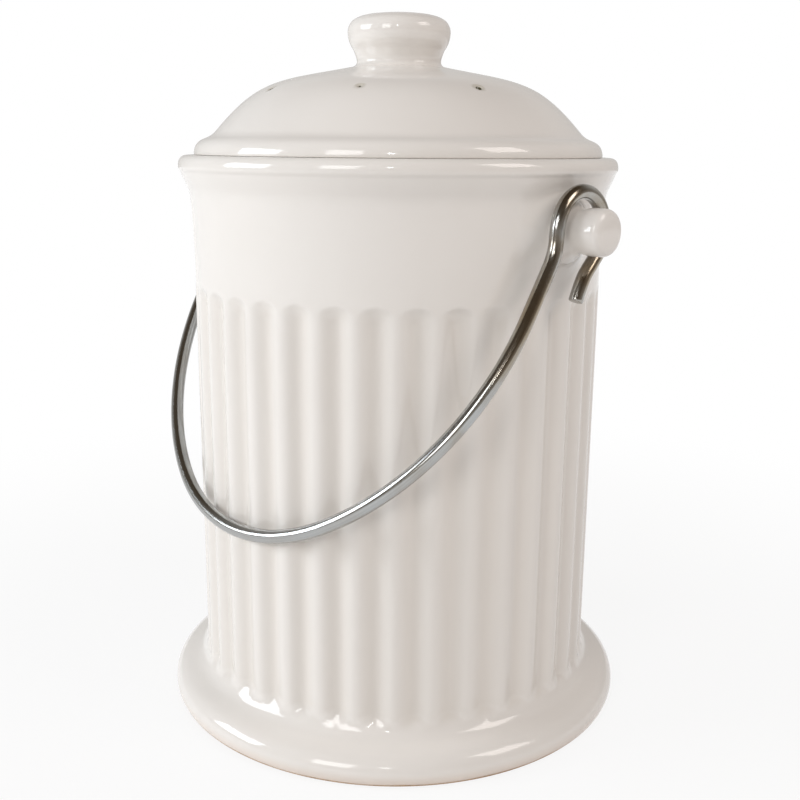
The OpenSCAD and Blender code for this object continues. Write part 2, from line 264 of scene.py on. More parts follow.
def seat_skirt(rows, side):
    """Pushes x out to the soft maximum of the wall and a cone round the lug's axis: half the sum of the two
    plus half the root of their difference squared plus a softness squared."""
    x, y, z = np.moveaxis(rows, -1, 0)
    away = np.hypot(y, z - LUG_Z)
    cone = SEAT_X - SKIRT_SLOPE * np.maximum(0, away - SEAT_R)
    soft = SKIRT_SOFT * smoother((SOFT_END - away) / SOFT_W)
    near = (side * x > SIDE_X) & (away < SKIRT_REACH) & outside[:, None]
    pushed = (side * x + cone + np.sqrt((side * x - cone) ** 2 + soft**2)) / 2 - 0.1 * soft
    pushed = np.where(away < SEAT_R, np.minimum(pushed, SEAT_X), pushed)
    rows[..., 0] = np.where(near, side * np.maximum(side * x, pushed), x)
    return rows


for side in (1, -1):
    crock_rows = seat_skirt(crock_rows, side)
crock = skin("crock_skin", crock_rows, marks={"hollow": depth})
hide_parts("crock_body")
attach(crock, "crock")

# %% [markdown]
# ## The lugs
# A lug is a solid spool: a trumpet root, a neck for the wire and a round cap. A cylinder with bevels would
# look machined, while the real one is rolled by hand, so its outline is drawn through measured points. It is
# turned about X by swapping the axes of a turned grid.

# %% Lugs
LUG_PLACES = 96
lug_outline = join(
    line((0.0, 87.4), (12.6, 87.4), 3)[1:],
    through([(13.2, 88.0), (12.1, 88.9), (10.8, 90.2), (9.5, 91.9), (8.5, 93.8), (8.2, 95.4)], 4),
    through([(8.2, 95.4), (8.3, 96.8), (8.55, 98.4), (8.68, 100.4), (8.7, 102.8), (8.6, 104.4)], 4),
    curve([(8.6, 104.4), (8.4, 106.2), (7.3, 106.95), (5.4, 107.2)], 8),
    line((5.4, 107.2), (1.5, 107.36), 2),
)


def lug(name, side):
    """Spool turned about X: (side * height, side * r cos a, r sin a) keeps the faces outwards on both
    sides."""
    rows = turned(lug_outline, LUG_PLACES)
    return skin(name, np.stack([side * rows[..., 2], side * rows[..., 0], rows[..., 1] + LUG_Z], -1))


lugs = [lug("lug_right_skin", 1), lug("lug_left_skin", -1)]
for piece, node in zip(lugs, ("lug_right", "lug_left")):
    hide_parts(node)
    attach(piece, "crock")

# %% [markdown]
# ## The bail
# The bail is one length of drawn wire. A bevelled curve object could make it, but in a grid each point can
# also say how far along the wire and how far round it is, which the finish needs. Its middle line is made of
# straight runs and arcs that meet with the same direction, so the tube has no kink. The hooks lie in planes
# across the lugs, and the bow lies in a plane that leans on the flutes. At each point of the line, one
# direction across the wire is X in a hook, and in the bow it is the bow's normal crossed with the way along;
# they agree where the two planes meet.

# %% Middle line of the bail
WIRE_R, HOOK_R, HALF_W, SET, REST_GAP = 2.75, 14.2, 94.2, 8.2, 0.3
LEG_L, BAIL_L, BOW_R = 40.4, 146.9, 80.0
LEAN = np.arcsin((BODY_R + WIRE_R + REST_GAP) / np.hypot(BAIL_L, SET)) - np.arctan(SET / BAIL_L)
BEND, BEND_R, TURN_IN = np.radians(30.0), 20.0, np.radians(8.0)
DROP = BAIL_L - LEG_L
SIDE_R = (HALF_W**2 + DROP * (DROP - 2 * BOW_R)) / (2 * (HALF_W - BOW_R))
BOW_A = np.arctan2(DROP - BOW_R, SIDE_R - HALF_W)
LEG_STEPS = 8

reach = BEND_R * np.tan(BEND / 2)
run = (HOOK_R * np.cos(BEND) - SET) / np.sin(BEND)
bend_end = HOOK_R * np.sin(BEND) + run * np.cos(BEND) + reach
deg = np.degrees
tail_start = HOOK_R * np.array([np.sin(TURN_IN), np.cos(TURN_IN)])
hook_line = join(
    through([(22.0, 13.3), (17.0, 12.5), (11.8, 12.2), (6.6, 13.15), tail_start], 5),
    arc((0, 0), HOOK_R, 90 - deg(TURN_IN), 270 + deg(BEND), 56),
    arc((bend_end, -SET - BEND_R), BEND_R, 90 + deg(BEND), 90, 14),
)
leg_down = line((bend_end, 0), (LEG_L, 0), LEG_STEPS)[:, 0]
leg_line = np.stack([leg_down, np.full(LEG_STEPS + 1, HALF_W)], 1)
side_line = arc((0, 0), SIDE_R, 0, deg(BOW_A), 40)
side_line = np.stack([LEG_L + side_line[:, 1], HALF_W - SIDE_R + side_line[:, 0]], 1)
bow_line = arc((0, 0), BOW_R, deg(BOW_A), 90, 24)
bow_line = np.stack([BAIL_L - BOW_R + bow_line[:, 1], bow_line[:, 0]], 1)
flat_line = join(leg_line, side_line, bow_line)

down = np.array([0, -np.sin(LEAN), -np.cos(LEAN)])
normal = np.array([0, -np.cos(LEAN), np.sin(LEAN)])
across = np.array([1.0, 0, 0])
hook_points = hook_line[:, :1] * down - hook_line[:, 1:] * normal + HALF_W * across
flat_points = flat_line[:, :1] * down + SET * normal + flat_line[:, 1:] * across
half = np.concatenate([hook_points, flat_points[1:]])
hooked = np.arange(len(half)) < len(hook_points)
middle = np.concatenate([half, (half * [-1, 1, 1])[-2::-1]]) + [0, 0, LUG_Z]
hooked = np.concatenate([hooked, hooked[-2::-1]])
print("bail: lean", round(float(deg(LEAN)), 2), "degrees, side arc radius", round(float(SIDE_R), 1), "mm")

# %% Tube round the middle line
WIRE_PLACES = 32
CUT_END = np.array([(0.0, 0.3), (0.0, 0.8), (0.12, 0.95), (0.4, 1.0)])


def tube(path, hook, radius, places):
    """Rows of a circle in the plane across the path: radius times (cos a) of one direction plus (sin a) of
    the other. The rows at both ends are drawn in, for ends that are cut and filed."""
    way = np.gradient(path, axis=0)
    way /= np.linalg.norm(way, axis=1, keepdims=True)
    sideways = np.where(hook[:, None], across * np.sign(path[:, :1]), np.cross(normal, way))
    sideways -= way * (sideways * way).sum(1, keepdims=True)
    sideways /= np.linalg.norm(sideways, axis=1, keepdims=True)
    other = np.cross(way, sideways)
    first = path[:1] + way[:1] * CUT_END[:, :1]
    last = path[-1:] - way[-1:] * CUT_END[::-1, :1]
    path = np.concatenate([first, path[1:-1], last])
    size = np.concatenate([CUT_END[:, 1], np.ones(len(way) - 2), CUT_END[::-1, 1]]) * radius
    steps = len(CUT_END)
    put = np.concatenate([[0] * steps, np.arange(1, len(way) - 1), [-1] * steps]).astype(int)
    angle = np.linspace(0, 2 * np.pi, places, endpoint=False)[None, :, None]
    circle = np.cos(angle) * sideways[put][:, None] + np.sin(angle) * other[put][:, None]
    return path[:, None] + size[:, None, None] * circle


bail_rows = tube(middle, hooked, WIRE_R, WIRE_PLACES)
way_along = np.linspace(0, 1, len(bail_rows))
way_round = np.linspace(0, 2 * np.pi, WIRE_PLACES, endpoint=False)
along, turn = np.meshgrid(way_along, way_round, indexing="ij")
bail = skin("bail_wire", bail_rows, marks={"along": along, "round_x": np.cos(turn), "round_y": np.sin(turn)})
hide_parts("bail_handle")
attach(bail, "bail")

# %% [markdown]
# ## The lid
# The lid is a thin dome with a rolled edge and a ring below that drops into the mouth. Eight small holes let
# the crock breathe, and the glaze has run into some of them. Cutting them with a boolean would leave creases
# in the glaze, so the grid itself is bent: round each hole, squares of the grid are moved onto circles, and
# the squares inside the smallest circle are left out.

# %% Outline of the lid
LID_Z, LID_R, LID_T, CROWN_Z = 233.58, 84.2, 5.5, 268.6
SPIGOT_R, RECESS_R, SPIGOT_Z = 77.5, 71.5, 224.5
KNOB_SEAT_R, LID_POLE_R, BRIM_R, EDGE_R = 20.4, 6.0, 74.0, 83.9
LID_STEP, LID_REACH = 0.47, 5
DOME = [(KNOB_SEAT_R, CROWN_Z), (50.4, 262.4), (57.2, 264.4), (76.6, 241.3)]

top_curve = softened(join(
    curve(DOME, 400),
    curve([(76.6, 241.3), (77.8, 240.5), (79.2, 240.4), (80.6, 239.8)], 12),
    curve([(80.6, 239.8), (82.8, 238.9), (LID_R, 237.4), (LID_R, 234.6)], 20),
), LID_STEP, LID_REACH)
dome, brim = top_curve[top_curve[:, 0] < BRIM_R][::2], top_curve[top_curve[:, 0] >= BRIM_R]
slope = np.gradient(dome[:, 1], dome[:, 0])
inside = np.stack([dome[:, 0], dome[:, 1] - LID_T * np.sqrt(1 + slope**2)], 1)
inside = inside[inside[:, 0] < RECESS_R - 1.5]
in_top, in_end = inside[0, 1], inside[-1, 1]
lid_top = line((LID_POLE_R, CROWN_Z), (KNOB_SEAT_R, CROWN_Z), 6)[:-1]
edge = join(
    brim,
    curve([(LID_R, 234.6), (LID_R, 234.0), (LID_R, LID_Z), (EDGE_R, LID_Z)], 4),
    line((EDGE_R, LID_Z), (78.3, LID_Z), 3),
    curve([(78.3, LID_Z), (77.7, LID_Z), (SPIGOT_R, 233.5), (SPIGOT_R, 233.0)], 3),
    line((SPIGOT_R, 233.0), (SPIGOT_R, 226.3), 3),
    curve([(SPIGOT_R, 226.3), (SPIGOT_R, 224.9), (77.1, SPIGOT_Z), (75.9, SPIGOT_Z)], 4),
    line((75.9, SPIGOT_Z), (73.0, SPIGOT_Z), 2),
    curve([(73.0, SPIGOT_Z), (71.9, SPIGOT_Z), (RECESS_R, 224.9), (RECESS_R, 226.0)], 4),
    line((RECESS_R, 226.0), (RECESS_R, in_end - 2.4), 8),
    curve([(RECESS_R, in_end - 2.4), (RECESS_R, in_end - 1), inside[-1], inside[-1]], 4)[:-1],
)
lid_in = line((KNOB_SEAT_R, in_top), (LID_POLE_R, in_top), 6)[1:]
lid_outline = np.concatenate([lid_top, dome, edge, inside[::-1], lid_in])[::-1]
print("lid outline:", len(lid_outline), "rows")

# %% [markdown]
# The bent patch is 18 grid steps wide. Inside it a point's largest step count from the middle says which
# square it is on, and that square eases into a circle as the count falls to 3. Glaze has narrowed some of
# the holes, so each one has its own share of the full radius.

# %% Places of the vents on the lid's grid
VENTS, VENT_R, VENT_RING, VENT_TURN = 8, 1.0, 57.3, 30.8
OPEN_SHARE = np.array([1.0, 0.9, 1.0, 0.8, 1.0, 0.7, 0.3, 1.0])
SPAN, HOLE, PATCH = 48, 3, 9
PATCH_SHARE, PATCH_POWER, DISH_D, HALO_W = 0.92, 1.15, 0.35, 2.6
LID_PLACES = SPAN * VENTS

lid_places = np.arange(LID_PLACES)
place_step = (lid_places + SPAN // 2) % SPAN - SPAN // 2
nearest = (lid_places + SPAN // 2) // SPAN % VENTS
hole_r = VENT_R * OPEN_SHARE[nearest]


def row_at(curve_points, r):
    """Row of the lid's outline whose point is the one on that curve at radius r."""
    point = curve_points[np.argmin(abs(curve_points[:, 0] - r))]
    return int(np.argmin(np.linalg.norm(lid_outline - point, axis=1)))


top_row, low_row = row_at(dome, VENT_RING), row_at(inside, VENT_RING)
print("vents:", VENTS, "of them, through rows", top_row, "and", low_row)

# %% Vent holes in the lid
def vent_patch(at_row):
    """For every grid point: its steps (along, across) from the nearest vent's middle, and their largest."""
    a, b = np.meshgrid(np.arange(len(lid_outline)) - at_row, place_step, indexing="ij")
    return a.astype(float), b.astype(float), np.maximum(abs(a), abs(b))


def bend_grid(rows, at_row, flip):
    """Moves points of the patch from their square to a circle. A point keeps its direction from the vent's
    middle, and its distance eases from that of the grid, at the patch's edge, to the hole's radius. The
    hole's own edge is moved by a small dish times flip, which is -1 for down and 1 for up."""
    along, sideways, square = vent_patch(at_row)
    angle = np.arctan2(along, sideways)
    length = np.hypot(along, sideways) + 1e-9
    out = np.clip((square - HOLE) / (PATCH - HOLE), 0, 1)
    grid_step = 2 * np.pi * VENT_RING / LID_PLACES
    circle = (hole_r + (PATCH * grid_step * PATCH_SHARE - hole_r) * out**PATCH_POWER) / grid_step
    ease = smoother(1 - out)
    new_length = ease * circle + (1 - ease) * length
    near = (square <= PATCH) & (square >= HOLE)
    d_side = np.where(near, new_length * np.cos(angle) - sideways, 0.0)
    d_along = np.where(near, new_length * np.sin(angle) - along, 0.0)
    turn = d_side * 2 * np.pi / LID_PLACES
    index = np.arange(len(lid_outline))[:, None] + d_along
    r = np.interp(index, np.arange(len(lid_outline)), lid_outline[:, 0])
    z = np.interp(index, np.arange(len(lid_outline)), lid_outline[:, 1])
    angles = np.arctan2(rows[..., 1], rows[..., 0]) + turn
    moved = np.stack([r * np.cos(angles), r * np.sin(angles), z], -1)
    moved[..., 2] += flip * DISH_D * smoother((HOLE + 1 - square)) * near
    return np.where(near[..., None], moved, rows)


# Painted shade: where this mark is near 1, at a vent's edge and on its walls, the glaze is made near black.
def vent_glaze_and_shade(rows):
    """1 at the edge of a vent, easing to 0 at HALO_W outside it, by the distance to the middle of the
    nearest vent's mouth, on whichever side of the lid is closer."""
    turn = np.radians(VENT_TURN + 360 / VENTS * nearest)
    off_x = rows[..., 0] - VENT_RING * np.cos(turn)
    off_y = rows[..., 1] - VENT_RING * np.sin(turn)
    off_top = abs(rows[..., 2] - lid_outline[top_row, 1])
    off_low = abs(rows[..., 2] - lid_outline[low_row, 1])
    away = np.sqrt(off_x**2 + off_y**2 + np.minimum(off_top, off_low)**2)
    return smoother((hole_r + HALO_W - away) / HALO_W)


def vent_quads():
    """Quads to leave out, where all four corners lie within the smallest square, and the ring of quads that
    joins the upper hole to the lower one."""
    rows_i, step = np.arange(len(lid_outline) - 1)[:, None], place_step[None, :]
    cut = np.zeros((len(lid_outline) - 1, LID_PLACES), bool)
    for middle_row in (top_row, low_row):
        inner = (rows_i >= middle_row - HOLE) & (rows_i < middle_row + HOLE)
        cut |= inner & (step >= -HOLE) & (step < HOLE)
    t = np.arange(8 * HOLE)
    side, k = t // (2 * HOLE), t % (2 * HOLE)
    du = np.choose(side, [k - HOLE, HOLE + 0 * k, HOLE - k, -HOLE + 0 * k])
    dv = np.choose(side, [-HOLE + 0 * k, k - HOLE, HOLE + 0 * k, HOLE - k])
    middles = SPAN * np.arange(VENTS)[:, None]
    upper = (top_row + dv) * LID_PLACES + (middles + du) % LID_PLACES
    lower = (low_row - dv) * LID_PLACES + (middles + du) % LID_PLACES
    ring = np.stack([upper, np.roll(upper, -1, 1), np.roll(lower, -1, 1), lower], -1)
    return cut, ring.reshape(-1, 4)


lid_rows = bend_grid(bend_grid(turned(lid_outline, LID_PLACES, VENT_TURN), top_row, -1), low_row, 1)
cut, vent_walls = vent_quads()
lid = skin("lid_skin", lid_rows, drop=cut, extra=vent_walls, marks={"thin_glaze_and_vent_shade": vent_glaze_and_shade(lid_rows)})
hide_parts("lid_shell")
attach(lid, "lid")

# %% [markdown]
# ## The knob
# The knob is thrown solid and joined to the crown, with a small cove at its foot where glaze gathered. A
# scaled sphere would be too round: the real one has a waist, a broad shoulder and a nearly flat top, so it is
# one more outline through measured points.

# %% Knob
KNOB_PLACES = 160
knob_outline = join(
    line((4, 267.4), (19.4, 267.4), 4),
    through([(19.6, 268.2), (19.0, 268.9), (18.0, 269.5), (17.35, 270.6), (17.45, 272.2), (17.95, 273.8)], 4),
    through([(17.95, 273.8), (18.6, 275.4), (19.55, 277.0),
             (20.35, 278.7), (20.85, 280.6), (21.05, 282.4)], 4),
    through([(21.05, 282.4), (20.85, 284.0), (20.25, 285.4),
             (19.05, 286.9), (16.7, 288.2), (14.2, 288.9)], 4),
    through([(14.2, 288.9), (10, 289.45), (5, 289.72), (1.2, 289.78)], 4),
)
knob = skin("knob_skin", turned(knob_outline, KNOB_PLACES))
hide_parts("lid_knob")
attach(knob, "lid")

# %% [markdown]
# ## The charcoal disc and its ring
# Both hide under the lid until it is lifted. The disc is pressed felt with soft edges and a faintly dimpled
# face, and the ring is one moulding with a lip, three spokes and a hub. A bump in the material could fake the
# dimples, but a mesh that is used without its material would then be flat, so they are moved points.

# %% Charcoal disc
ROUND_PLACES = 240
DISC_SOFT, DISC_POLE_R, DISC_STEP = 2.0, 1.5, 1.6
DIMPLE_W, DIMPLE_D, PLAIN_W = 1.7, 0.45, 3.0

disc_low, disc_high = node_box("filter_disc")
disc_r, disc_z, disc_top = disc_high[0], disc_low[2], disc_high[2]
soft_r = disc_r - DISC_SOFT
disc_outline = join(
    even(line((DISC_POLE_R, disc_z), (soft_r, disc_z), 2), DISC_STEP),
    arc((soft_r, disc_z + DISC_SOFT), DISC_SOFT, -90, 0, 5),
    arc((soft_r, disc_top - DISC_SOFT), DISC_SOFT, 0, 90, 5),
    even(line((soft_r, disc_top), (DISC_POLE_R, disc_top), 2), DISC_STEP),
)
disc_rows = turned(disc_outline, ROUND_PLACES)
flat_share = smoother((disc_r - PLAIN_W - np.hypot(disc_rows[..., 0], disc_rows[..., 1])) / PLAIN_W)
dimple = (np.cos(disc_rows[..., 0] / DIMPLE_W) * np.cos(disc_rows[..., 1] / DIMPLE_W)) ** 2
inward = np.where(disc_rows[..., 2] > (disc_z + disc_top) / 2, -1, 1)
disc_rows[..., 2] += inward * DIMPLE_D * dimple * flat_share
disc = skin("charcoal_disc", disc_rows)
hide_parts("filter_disc")
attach(disc, "filter_disc")

# %% Retaining ring
WALL_T, LIP_W, LIP_T, HUB_R, SPOKE_W = 2.0, 8.0, 2.0, 13.0, 6.0
RING_GAP, OUT_SOFT, TOP_SOFT, LIP_SOFT = 0.25, 0.8, 0.7, 0.6

ring_low, ring_high = node_box("filter_ring")
ring_r, ring_z, ring_top = RECESS_R - RING_GAP, ring_low[2], ring_high[2]
wall_r, lip_r = ring_r - WALL_T, ring_r - WALL_T - LIP_W
ring_outline = join(
    line((lip_r + LIP_SOFT, ring_z), (ring_r - OUT_SOFT, ring_z), 6),
    arc((ring_r - OUT_SOFT, ring_z + OUT_SOFT), OUT_SOFT, -90, 0, 4),
    line((ring_r, ring_z + OUT_SOFT), (ring_r, ring_top - TOP_SOFT), 6),
    arc((ring_r - TOP_SOFT, ring_top - TOP_SOFT), TOP_SOFT, 0, 90, 3),
    arc((wall_r + TOP_SOFT, ring_top - TOP_SOFT), TOP_SOFT, 90, 180, 3),
    line((wall_r, ring_top - TOP_SOFT), (wall_r, ring_z + LIP_T + TOP_SOFT), 5),
    arc((wall_r - TOP_SOFT, ring_z + LIP_T + TOP_SOFT), TOP_SOFT, 0, -90, 4),
    line((wall_r - TOP_SOFT, ring_z + LIP_T), (lip_r + LIP_SOFT, ring_z + LIP_T), 5),
    arc((lip_r + LIP_SOFT, ring_z + LIP_T - LIP_SOFT), LIP_SOFT, 90, 180, 3),
    arc((lip_r + LIP_SOFT, ring_z + LIP_SOFT), LIP_SOFT, 180, 270, 3),
)
ring = skin("retaining_ring", turned(ring_outline[:-1], ROUND_PLACES), loop=True)
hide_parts("filter_ring")

# %% [markdown]
# The spokes and the hub are one flat star. Its edge is worked out in polar form: along a spoke's side the
# angle off the spoke's middle line is the arcsine of half its width over the radius.

# %% Spokes and hub
SPOKES, STAR_SUNK, STAR_SOFT = 3, 0.02, 0.5


def star_edge(hub, tip, half_width, count):
    """Edge of the star as x and y, anticlockwise: a spoke's near side out, its tip, its far side in, the
    hub."""
    out = np.linspace(hub, tip, 24)
    side = np.arcsin(half_width / out)
    end = np.linspace(-side[-1], side[-1], 7)[1:-1]
    hub_arc = np.linspace(side[0], 2 * np.pi / count - side[0], 14)[1:-1]
    angle = np.concatenate([-side, end, side[::-1], hub_arc])
    r = np.concatenate([out, np.full(len(end), tip), out[::-1], np.full(len(hub_arc), hub)])
    turn = np.pi / 2 + 2 * np.pi / count * np.arange(count)[:, None]
    return np.stack([r * np.cos(angle + turn), r * np.sin(angle + turn)], -1).reshape(-1, 2)


def plate(edge, low, high, soft):
    """Flat plate with rounded edges: each row is the edge moved in along its normal, from the middle of the
    underside, round the edge's quarter circles, to the middle of the top."""
    way = np.roll(edge, -1, 0) - np.roll(edge, 1, 0)
    inward = np.stack([-way[:, 1], way[:, 0]], 1) / np.linalg.norm(way, axis=1, keepdims=True)
    bend = np.radians([90, 60, 30, 0])
    rows = [edge * 0.35, *[edge + inward * soft * (1 - np.cos(b)) for b in bend]]
    heights = [low, *[low + soft * (1 - np.sin(b)) for b in bend]]
    rows, heights = rows + rows[::-1], heights + [low + high - h for h in heights[::-1]]
    return np.stack([np.column_stack([r, np.full(len(r), h)]) for r, h in zip(rows, heights)])


star = star_edge(HUB_R, wall_r - LIP_W / 2, SPOKE_W / 2, SPOKES)
spokes = skin("ring_spokes", plate(star, ring_z + STAR_SUNK, ring_z + LIP_T - STAR_SUNK, STAR_SOFT))
for piece in (ring, spokes):
    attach(piece, "filter_ring")

# %% [markdown]
# ## Finishes as arithmetic
# A shader is a formula, so it is written as one. The class below wraps one socket: adding or multiplying two
# of them adds the Math node that does it, and `add` makes any other node from its settings and its inputs.

# %% Sockets that do arithmetic
class Flow:
    """One output socket of a node tree, with the operators that shader formulas use."""

    def __init__(self, tree, socket=None):
        self.tree, self.socket = tree, socket

    def add(self, kind, settings=None, inputs=None, out=0):
        """New node of that kind: its settings first, then a value or a link for each input. Gives one
        output."""
        node = self.tree.nodes.new(kind)
        for key, value in (settings or {}).items():
            setattr(node, key, value)
        for key, value in (inputs or {}).items():
            if isinstance(value, Flow):
                self.tree.links.new(value.socket, node.inputs[key])
            else:
                node.inputs[key].default_value = value
        return Flow(self.tree, node.outputs[out]) if len(node.outputs) else None

    def maths(self, operation, a, b):
        """New Math node that does that operation on a and b."""
        return self.add("ShaderNodeMath", {"operation": operation}, {0: a, 1: b})

    def __add__(self, other):
        return self.maths("ADD", self, other)

    def __sub__(self, other):
        return self.maths("SUBTRACT", self, other)

    def __rsub__(self, other):
        return self.maths("SUBTRACT", other, self)

    def __mul__(self, other):
        return self.maths("MULTIPLY", self, other)

    __radd__, __rmul__ = __add__, __mul__

    def eased(self, low, high):
        """0 below low, 1 above high, and a smooth step between."""
        settings = {"interpolation_type": "SMOOTHSTEP"}
        inputs = {"Value": self, "From Min": low, "From Max": high}
        return self.add("ShaderNodeMapRange", settings, inputs)


def blend(share, a, b):
    """Colour a where share is 0 and colour b where it is 1."""
    return share.add("ShaderNodeMix", {"data_type": "RGBA"}, {0: share, 6: a, 7: b}, out=2)


def noise(place, scale, detail=2.0, rough=0.5):
    """Cloudy noise from 0 to 1 at that place, with scale features a metre."""
    inputs = {"Vector": place, "Scale": scale, "Detail": detail, "Roughness": rough}
    return place.add("ShaderNodeTexNoise", None, inputs)


def relief(height, strength, distance):
    """Surface tilted as if height, from 0 to 1, stood up by that distance in metres."""
    inputs = {"Strength": strength, "Distance": distance, "Height": height}
    return height.add("ShaderNodeBump", None, inputs)


def new_finish(name):
    """Empty material, and Object coordinates in it."""
    material = bpy.data.materials.new(name)
    material.use_nodes = True
    material.node_tree.nodes.clear()
    return material, Flow(material.node_tree).add("ShaderNodeTexCoord", out="Object")


def mark(place, label):
    """The number that each point of the piece carries under that name."""
    return place.add("ShaderNodeAttribute", {"attribute_name": label}, out="Fac")


def surface(place, **inputs):
    """Principled shader with those inputs, whose names have _ for a space, as the material's surface."""
    named = {key.replace("_", " "): value for key, value in inputs.items()}
    shader = place.add("ShaderNodeBsdfPrincipled", None, named)
    place.add("ShaderNodeOutputMaterial", None, {"Surface": shader})
    print("finish:", len(place.tree.nodes), "nodes")


# %% [markdown]
# ## Glaze
# The real glaze is a warm white, a little creamier where it pools in the flutes and a little brighter where
# it thins on their crests. Round the vent holes it thins to a beige halo with an olive edge, and that edge
# and the walls inside the holes are made near black as painted shade. Towards the
# bottom of the foot the clay blushes through, and the last millimetre is wiped bare so that the pot doesn't
# stick to the kiln shelf. Painted textures could show all this, but a mask worked out from the height and
# from the points' own marks stays sharp at any size. Bare clay is rough and glaze is glossy, so the same mask
# drives colour and roughness.

# %% Glaze finish
WARM_WHITE, POOLED, CREST = (0.80, 0.762, 0.715, 1), (0.735, 0.685, 0.625, 1), (0.835, 0.80, 0.755, 1)
TAN_CLAY, DARK_CLAY, BLUSH = (0.62, 0.41, 0.25, 1), (0.40, 0.26, 0.155, 1), (0.78, 0.62, 0.50, 1)
# The olive edge colour is the olive of thin glaze at a vent's edge, darkened to near black as painted shade
# of the hole.
BEIGE_HALO, OLIVE_EDGE_AND_SHADE = (0.50, 0.46, 0.37, 1), (0.085, 0.075, 0.04, 1)
GLAZE_ROUGH, CLAY_ROUGH, GLAZE_IOR = 0.075, 0.7, 1.52

glaze, place = new_finish("warm_white_glaze")
clouds = noise(place, 16, 3.0)
grit = noise(place, 900, 3.0, 0.65)
height = place.add("ShaderNodeSeparateXYZ", None, {0: place}, out="Z")
bare = 1 - (height - 0.0018 * noise(place, 42)).eased(0.0006, 0.0013)
# This mark is the thin glaze round a vent, and near 1 it also carries the painted shade inside the hole.
thin = mark(place, "thin_glaze_and_vent_shade")
halo = (thin + 0.3 * noise(place, 700) - 0.15).eased(0.1, 0.7)
clay = blend(grit.eased(0.35, 0.7), DARK_CLAY, TAN_CLAY)
colour = blend(clouds.eased(0.3, 0.7) * 0.5, WARM_WHITE, CREST)
colour = blend(mark(place, "hollow") * (0.55 + 0.3 * clouds), colour, POOLED)
# Painted shade: near-black olive at the vents' edges and on their walls, over the real beige halo.
colour = blend(thin.eased(0.9, 1.0), blend(halo * 0.6, colour, BEIGE_HALO), OLIVE_EDGE_AND_SHADE)
colour = blend(0.5 - 0.5 * height.eased(0.001, 0.007), colour, BLUSH)
colour = blend(bare, colour, clay)
skin_relief = 0.6 * noise(place, 55, 1.0) + 0.06 * noise(place, 420, 1.0) + 0.5 * bare * grit
roughness = GLAZE_ROUGH + 0.03 * clouds + CLAY_ROUGH * bare
surface(place, Base_Color=colour, Roughness=roughness, IOR=GLAZE_IOR,
        Normal=relief(skin_relief, 0.35, 0.00022))
for piece in (crock, *lugs, lid, knob):
    piece.data.materials.append(glaze)

# %% [markdown]
# ## Drawn steel wire
# Wire is pulled through a die, which leaves fine lines along it. An anisotropic shader could stand in for
# them, but noise that is stretched along the wire also shows them one by one. For that, each point of the
# tube carries its share of the way along and its place round. The bow is rubbed clean by hands and by the
# pot, and a warm tarnish stays near the hooks.

# %% Wire finish
CLEAN_STEEL, TARNISHED, DIE_LINES = (0.42, 0.43, 0.43, 1), (0.29, 0.235, 0.165, 1), (0.60, 0.595, 0.57, 1)

steel, place = new_finish("drawn_steel_wire")
share_along = mark(place, "along")
wire_place = place.add("ShaderNodeCombineXYZ", None,
                       {0: share_along, 1: mark(place, "round_x"), 2: mark(place, "round_y")})
lines = noise(wire_place, 9.0, 4.0, 0.7)
tarnish = noise(place, 60, 3.0)
rubbed = share_along.eased(0.3, 0.42) * (1 - share_along.eased(0.7, 0.8))
colour = blend(tarnish.eased(0.35, 0.72) * (1 - 0.8 * rubbed), CLEAN_STEEL, TARNISHED)
colour = blend(lines.eased(0.4, 0.75) * 0.35, colour, DIE_LINES)
surface(place, Base_Color=colour, Metallic=1.0, Roughness=0.13 + 0.1 * tarnish,
        Normal=relief(lines, 0.25, 0.00005))
bail.data.materials.append(steel)

# %% [markdown]
# ## Charcoal felt
# The disc is felt loaded with charcoal grains, which drinks nearly all light. Real hairs would show only from
# very near, so fine noise gives the fibres, small cells give the grains, and a little sheen lifts the edge.

# %% Felt finish
DARK_FELT, WORN_FELT = (0.012, 0.012, 0.013, 1), (0.055, 0.055, 0.058, 1)

felt, place = new_finish("charcoal_felt")
fibres = noise(place, 1400, 4.0, 0.7)
grains = place.add("ShaderNodeTexVoronoi", None, {"Vector": place, "Scale": 1100}, out="Distance")
colour = blend(fibres.eased(0.35, 0.7), DARK_FELT, WORN_FELT)
surface(place, Base_Color=colour, Roughness=0.95, Sheen_Weight=0.25,
        Normal=relief(fibres + 0.5 * grains, 0.8, 0.0004))
disc.data.materials.append(felt)

# %% [markdown]
# ## Moulded plastic
# The ring is a pale moulding with the fine grain of its mould. One plain colour would look like paper next to
# the glaze, so the colour drifts slightly and the grain tilts the surface.

# %% Plastic finish
PLASTIC, PALE_PLASTIC = (0.70, 0.69, 0.66, 1), (0.75, 0.74, 0.71, 1)

plastic, place = new_finish("moulded_plastic")
texture = noise(place, 1500)
colour = blend(noise(place, 30), PLASTIC, PALE_PLASTIC)
surface(place, Base_Color=colour, Roughness=0.42 + 0.1 * texture, Normal=relief(texture, 0.3, 0.0001))
for piece in (ring, spokes):
    piece.data.materials.append(plastic)

# %% [markdown]
# ## Camera
# The camera was fitted to the photo: where the outlines fall gives its distance, height, pitch and the small
# roll of a hand-held shot. The photo is square, so the sensor's width is the whole frame.

# %% Camera
AZIMUTH, DISTANCE, HEIGHT = np.radians(45.0), 453.8, 238.1
PITCH, ROLL = np.radians(13.61), np.radians(0.46)
FOCAL_PIXELS, SHIFT_PIXELS, FRAME_PIXELS, SENSOR = 1054.5, 3.8, 800, 36.0

right = np.array([np.cos(AZIMUTH), np.sin(AZIMUTH), 0])
toward = np.array([np.sin(AZIMUTH), -np.cos(AZIMUTH), 0])
forward = -toward * np.cos(PITCH) - np.array([0, 0, np.sin(PITCH)])
upward = np.cross(right, forward)
tilted_right = np.cos(ROLL) * right + np.sin(ROLL) * upward
tilted_up = np.cos(ROLL) * upward - np.sin(ROLL) * right
spot = toward * DISTANCE * MM + [0, 0, HEIGHT * MM]

